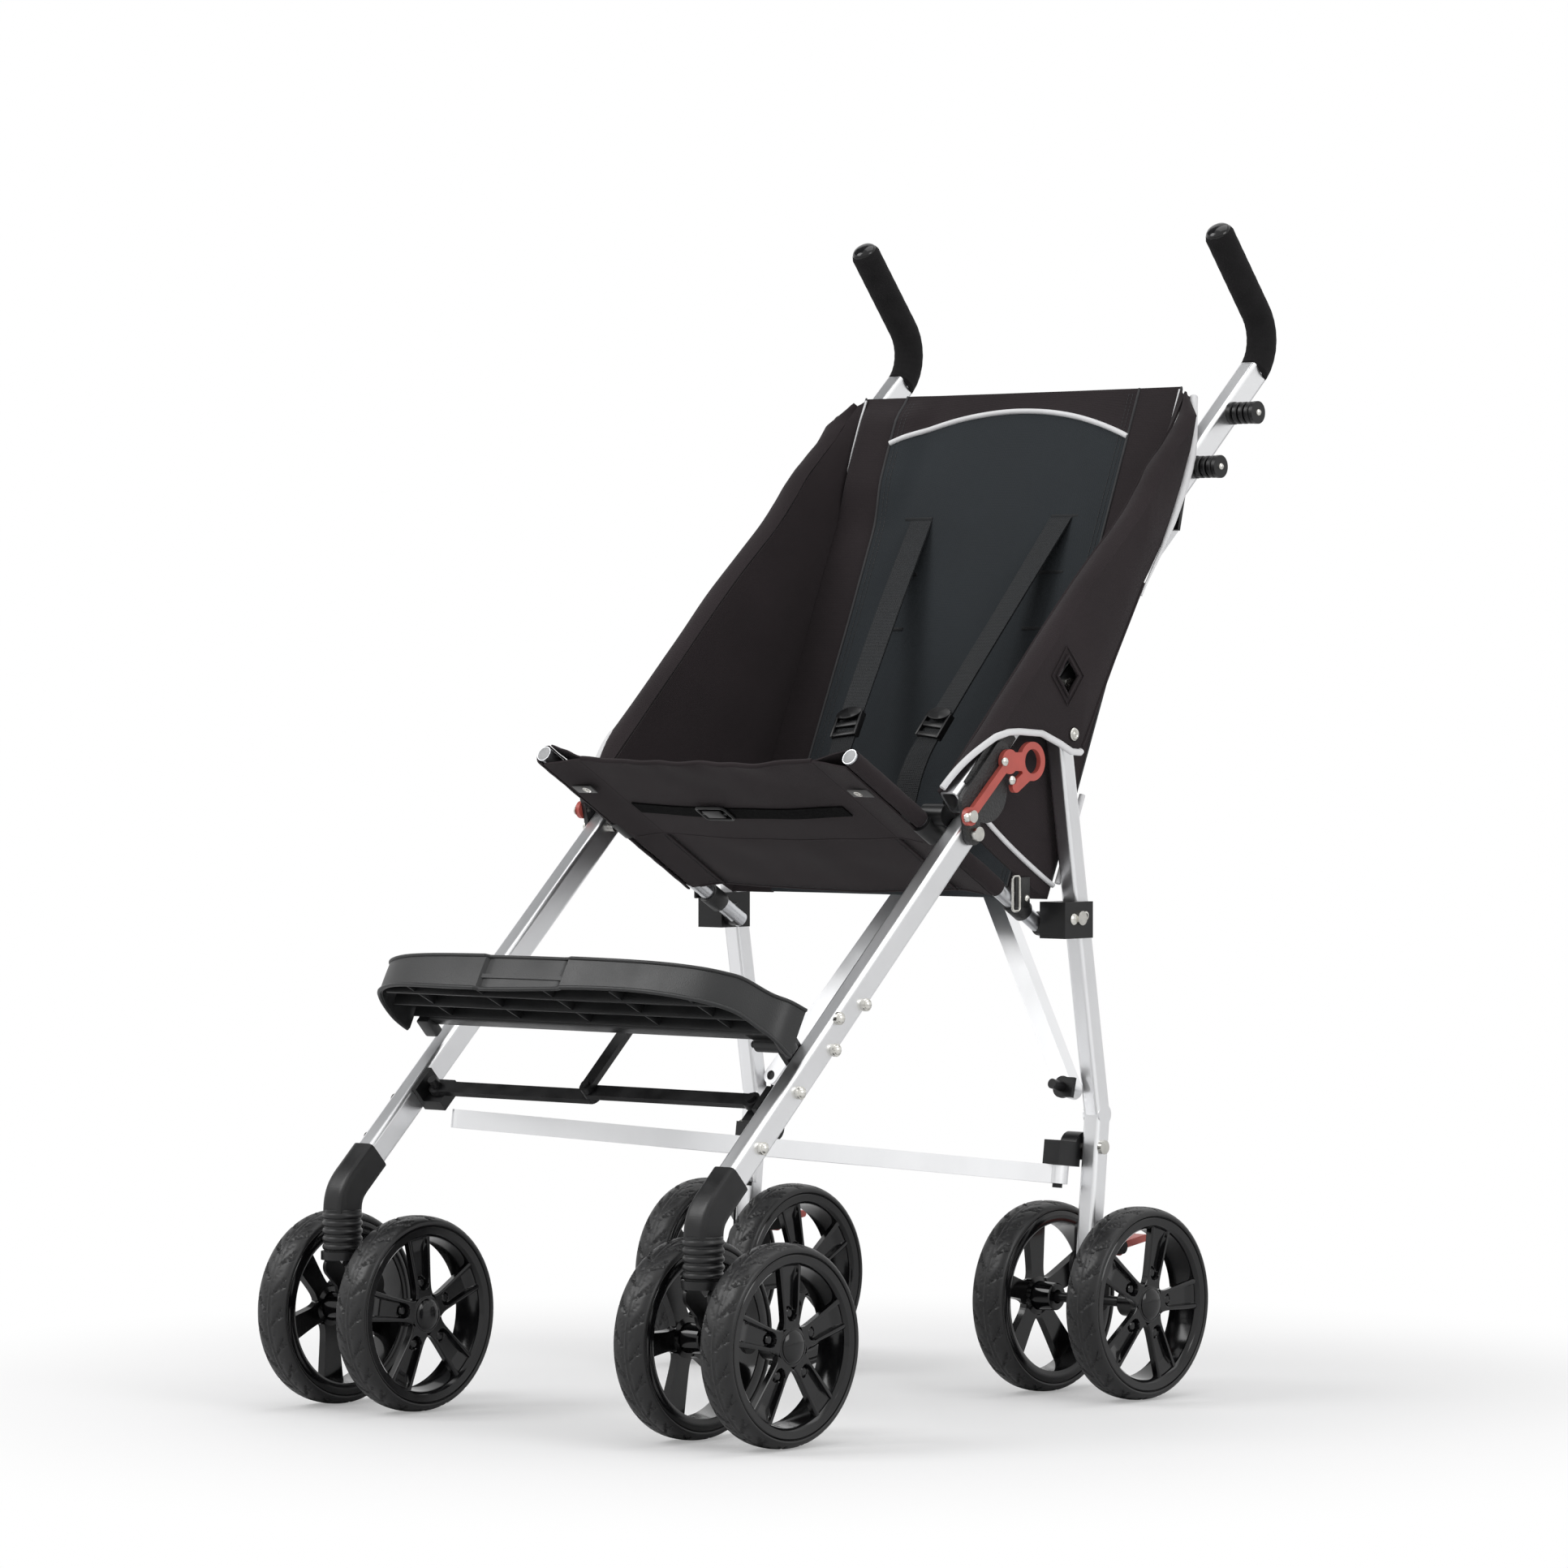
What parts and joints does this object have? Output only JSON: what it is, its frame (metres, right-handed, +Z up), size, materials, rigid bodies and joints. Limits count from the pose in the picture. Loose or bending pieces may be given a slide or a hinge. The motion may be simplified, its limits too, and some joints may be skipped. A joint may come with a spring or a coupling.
{
  "type": "special needs buggy",
  "caption": "Folding push buggy for a larger child: crossed aluminium frame, sling seat with high sides, footplate, twin wheels and bent grips.",
  "frame": {"origin": "on the floor, under the middle of the whole object's box", "axes": "+Z up, -Y to the front of the buggy, +X to the seated child's left"},
  "size_m": [0.615, 0.9178, 1.1712],
  "materials": {
    "frame": "satin anodised",
    "rail": "satin",
    "steel": "zinc plated",
    "foam": "foam",
    "plate_black": "black crackle",
    "red": "satin",
    "rubber": "matt",
    "tyre": "matt",
    "gloss_black": "gloss",
    "black": "moulded",
    "footplate": "grained",
    "cloth": "woven",
    "webbing": "ribbed webbing"
  },
  "bodies": {
    "left_frame": {"handle_tube_left": "frame", "grip_left": "foam", "rear_leg_left": "frame", "seat_rail_left": "rail", "lock_bracket_left": "plate_black", "frame_fittings_left": "black", "frame_bolts_left": "steel", "rear_bracket_left": "black", "back_cover": "cloth", "seat_sling": "cloth", "harness": "webbing"},
    "right_frame": {"handle_tube_right": "frame", "grip_right": "foam", "rear_leg_right": "frame", "seat_rail_right": "rail", "lock_bracket_right": "plate_black", "frame_fittings_right": "black", "frame_bolts_right": "steel", "rear_bracket_right": "black"},
    "left_leg": {"front_leg_left": "frame", "caster_socket_left": "black", "caster_boot_left": "rubber", "front_knuckle_left": "black"},
    "left_caster": {"caster_fork_left": "black"},
    "front_wheel_outer_left": {"front_tyre_outer_left": "tyre", "front_rim_outer_left": "gloss_black"},
    "front_wheel_inner_left": {"front_tyre_inner_left": "tyre", "front_rim_inner_left": "gloss_black"},
    "rear_wheel_outer_left": {"rear_tyre_outer_left": "tyre", "rear_rim_outer_left": "gloss_black"},
    "rear_wheel_inner_left": {"rear_tyre_inner_left": "tyre", "rear_rim_inner_left": "gloss_black"},
    "left_lever": {"lock_lever_left": "red"},
    "left_pedal": {"brake_pedal_left": "red"},
    "left_knuckle": {"rear_knuckle_left": "black"},
    "left_bar": {"lower_bar_left": "frame"},
    "left_brace": {"rear_brace_left": "frame"},
    "left_link": {"front_link_left": "plate_black"},
    "right_leg": {"front_leg_right": "frame", "caster_socket_right": "black", "caster_boot_right": "rubber", "front_knuckle_right": "black"},
    "right_caster": {"caster_fork_right": "black"},
    "front_wheel_outer_right": {"front_tyre_outer_right": "tyre", "front_rim_outer_right": "gloss_black"},
    "front_wheel_inner_right": {"front_tyre_inner_right": "tyre", "front_rim_inner_right": "gloss_black"},
    "rear_wheel_outer_right": {"rear_tyre_outer_right": "tyre", "rear_rim_outer_right": "gloss_black"},
    "rear_wheel_inner_right": {"rear_tyre_inner_right": "tyre", "rear_rim_inner_right": "gloss_black"},
    "right_lever": {"lock_lever_right": "red"},
    "right_pedal": {"brake_pedal_right": "red"},
    "right_knuckle": {"rear_knuckle_right": "black"},
    "right_bar": {"lower_bar_right": "frame"},
    "right_brace": {"rear_brace_right": "frame"},
    "right_link": {"front_link_right": "plate_black"},
    "strut": {"fold_strut": "plate_black"},
    "hook": {"fold_hook": "black"},
    "plate": {"footplate": "footplate"}
  },
  "joints": [
    {"name": "fold", "type": "slide", "parent": "left_frame", "child": "right_frame", "axis": [1, 0, 0], "range_m": [0, 0.2], "deforming": ["back_cover", "seat_sling", "harness"]},
    {"name": "left_leg_pivot", "type": "hinge", "parent": "left_frame", "child": "left_leg", "pos_m": [0.234, -0.03587, 0.56], "axis": [-1, 0, 0], "range_deg": [0, 24.6]},
    {"name": "left_swivel", "type": "hinge", "parent": "left_leg", "child": "left_caster", "pos_m": [0.234, -0.40987, 0.15], "axis": [0, 0, 1], "continuous": true},
    {"name": "front_wheel_outer_left_spin", "type": "hinge", "parent": "left_caster", "child": "front_wheel_outer_left", "pos_m": [0.2875, -0.36387, 0.095], "axis": [1, 0, 0], "continuous": true},
    {"name": "front_wheel_inner_left_spin", "type": "hinge", "parent": "left_caster", "child": "front_wheel_inner_left", "pos_m": [0.1805, -0.36387, 0.095], "axis": [1, 0, 0], "continuous": true},
    {"name": "rear_wheel_outer_left_spin", "type": "hinge", "parent": "left_frame", "child": "rear_wheel_outer_left", "pos_m": [0.284, 0.17613, 0.095], "axis": [1, 0, 0], "continuous": true},
    {"name": "rear_wheel_inner_left_spin", "type": "hinge", "parent": "left_frame", "child": "rear_wheel_inner_left", "pos_m": [0.166, 0.17613, 0.095], "axis": [1, 0, 0], "continuous": true},
    {"name": "left_lever_pivot", "type": "hinge", "parent": "left_frame", "child": "left_lever", "pos_m": [0.252, -0.04687, 0.577], "axis": [-1, 0, 0], "range_deg": [0, 30]},
    {"name": "left_pedal_pivot", "type": "hinge", "parent": "left_frame", "child": "left_pedal", "pos_m": [0.225, 0.20613, 0.146], "axis": [-1, 0, 0], "range_deg": [0, 20]},
    {"name": "left_knuckle_pitch", "type": "hinge", "parent": "left_frame", "child": "left_knuckle", "pos_m": [0.203, 0.18113, 0.246], "axis": [-1, 0, 0], "range_deg": [0, 11.6]},
    {"name": "left_bar_pivot", "type": "hinge", "parent": "left_knuckle", "child": "left_bar", "pos_m": [0.203, 0.15213, 0.219], "axis": [0, 0.134, 0.991], "range_deg": [0, 23.58]},
    {"name": "left_brace_pivot", "type": "hinge", "parent": "left_frame", "child": "left_brace", "pos_m": [0.201, 0.18213, 0.3], "axis": [0, 0.9703, -0.2419], "range_deg": [0, 17.97]},
    {"name": "left_link_pivot", "type": "hinge", "parent": "left_leg", "child": "left_link", "pos_m": [0.206, -0.305, 0.30902], "axis": [0, 0.682, -0.7314], "range_deg": [0, 59.03]},
    {"name": "right_leg_pivot", "type": "hinge", "parent": "right_frame", "child": "right_leg", "pos_m": [-0.234, -0.03587, 0.56], "axis": [-1, 0, 0], "range_deg": [0, 24.6]},
    {"name": "right_swivel", "type": "hinge", "parent": "right_leg", "child": "right_caster", "pos_m": [-0.234, -0.40987, 0.15], "axis": [0, 0, 1], "continuous": true},
    {"name": "front_wheel_outer_right_spin", "type": "hinge", "parent": "right_caster", "child": "front_wheel_outer_right", "pos_m": [-0.2875, -0.36387, 0.095], "axis": [1, 0, 0], "continuous": true},
    {"name": "front_wheel_inner_right_spin", "type": "hinge", "parent": "right_caster", "child": "front_wheel_inner_right", "pos_m": [-0.1805, -0.36387, 0.095], "axis": [1, 0, 0], "continuous": true},
    {"name": "rear_wheel_outer_right_spin", "type": "hinge", "parent": "right_frame", "child": "rear_wheel_outer_right", "pos_m": [-0.284, 0.17613, 0.095], "axis": [1, 0, 0], "continuous": true},
    {"name": "rear_wheel_inner_right_spin", "type": "hinge", "parent": "right_frame", "child": "rear_wheel_inner_right", "pos_m": [-0.166, 0.17613, 0.095], "axis": [1, 0, 0], "continuous": true},
    {"name": "right_lever_pivot", "type": "hinge", "parent": "right_frame", "child": "right_lever", "pos_m": [-0.252, -0.04687, 0.577], "axis": [-1, 0, 0], "range_deg": [0, 30]},
    {"name": "right_pedal_pivot", "type": "hinge", "parent": "right_frame", "child": "right_pedal", "pos_m": [-0.225, 0.20613, 0.146], "axis": [-1, 0, 0], "range_deg": [0, 20]},
    {"name": "right_knuckle_pitch", "type": "hinge", "parent": "right_frame", "child": "right_knuckle", "pos_m": [-0.203, 0.18113, 0.246], "axis": [-1, 0, 0], "range_deg": [0, 11.6]},
    {"name": "right_bar_pivot", "type": "hinge", "parent": "right_knuckle", "child": "right_bar", "pos_m": [-0.203, 0.15213, 0.219], "axis": [0, -0.134, -0.991], "range_deg": [0, 23.58]},
    {"name": "right_brace_pivot", "type": "hinge", "parent": "right_frame", "child": "right_brace", "pos_m": [-0.201, 0.18213, 0.3], "axis": [0, -0.9703, 0.2419], "range_deg": [0, 17.97]},
    {"name": "right_link_pivot", "type": "hinge", "parent": "right_leg", "child": "right_link", "pos_m": [-0.206, -0.305, 0.30902], "axis": [0, -0.682, 0.7314], "range_deg": [0, 59.03]},
    {"name": "strut_pivot", "type": "hinge", "parent": "left_link", "child": "strut", "pos_m": [0, -0.305, 0.30902], "axis": [0, -0.682, 0.7314], "range_deg": [0, 59.03]},
    {"name": "hook_pivot", "type": "hinge", "parent": "right_leg", "child": "hook", "pos_m": [-0.247, -0.31817, 0.29675], "axis": [-1, 0, 0], "range_deg": [0, 35]},
    {"name": "footplate_flip", "type": "hinge", "parent": "left_leg", "child": "plate", "pos_m": [0.2, -0.27652, 0.36499], "axis": [-1, 0, 0], "range_deg": [0, 80]}
  ],
  "couplings": [
    {"joint": "left_leg_pivot", "follows": "fold", "rad_per_m": 2.1468},
    {"joint": "left_knuckle_pitch", "follows": "fold", "rad_per_m": 1.0123},
    {"joint": "left_bar_pivot", "follows": "fold", "rad_per_m": 2.058},
    {"joint": "left_brace_pivot", "follows": "fold", "rad_per_m": 1.5678},
    {"joint": "left_link_pivot", "follows": "fold", "rad_per_m": 5.1515},
    {"joint": "right_leg_pivot", "follows": "fold", "rad_per_m": 2.1468},
    {"joint": "right_knuckle_pitch", "follows": "fold", "rad_per_m": 1.0123},
    {"joint": "right_bar_pivot", "follows": "fold", "rad_per_m": 2.058},
    {"joint": "right_brace_pivot", "follows": "fold", "rad_per_m": 1.5678},
    {"joint": "right_link_pivot", "follows": "fold", "rad_per_m": 5.1515},
    {"joint": "strut_pivot", "follows": "fold", "rad_per_m": 5.1515}
  ]
}
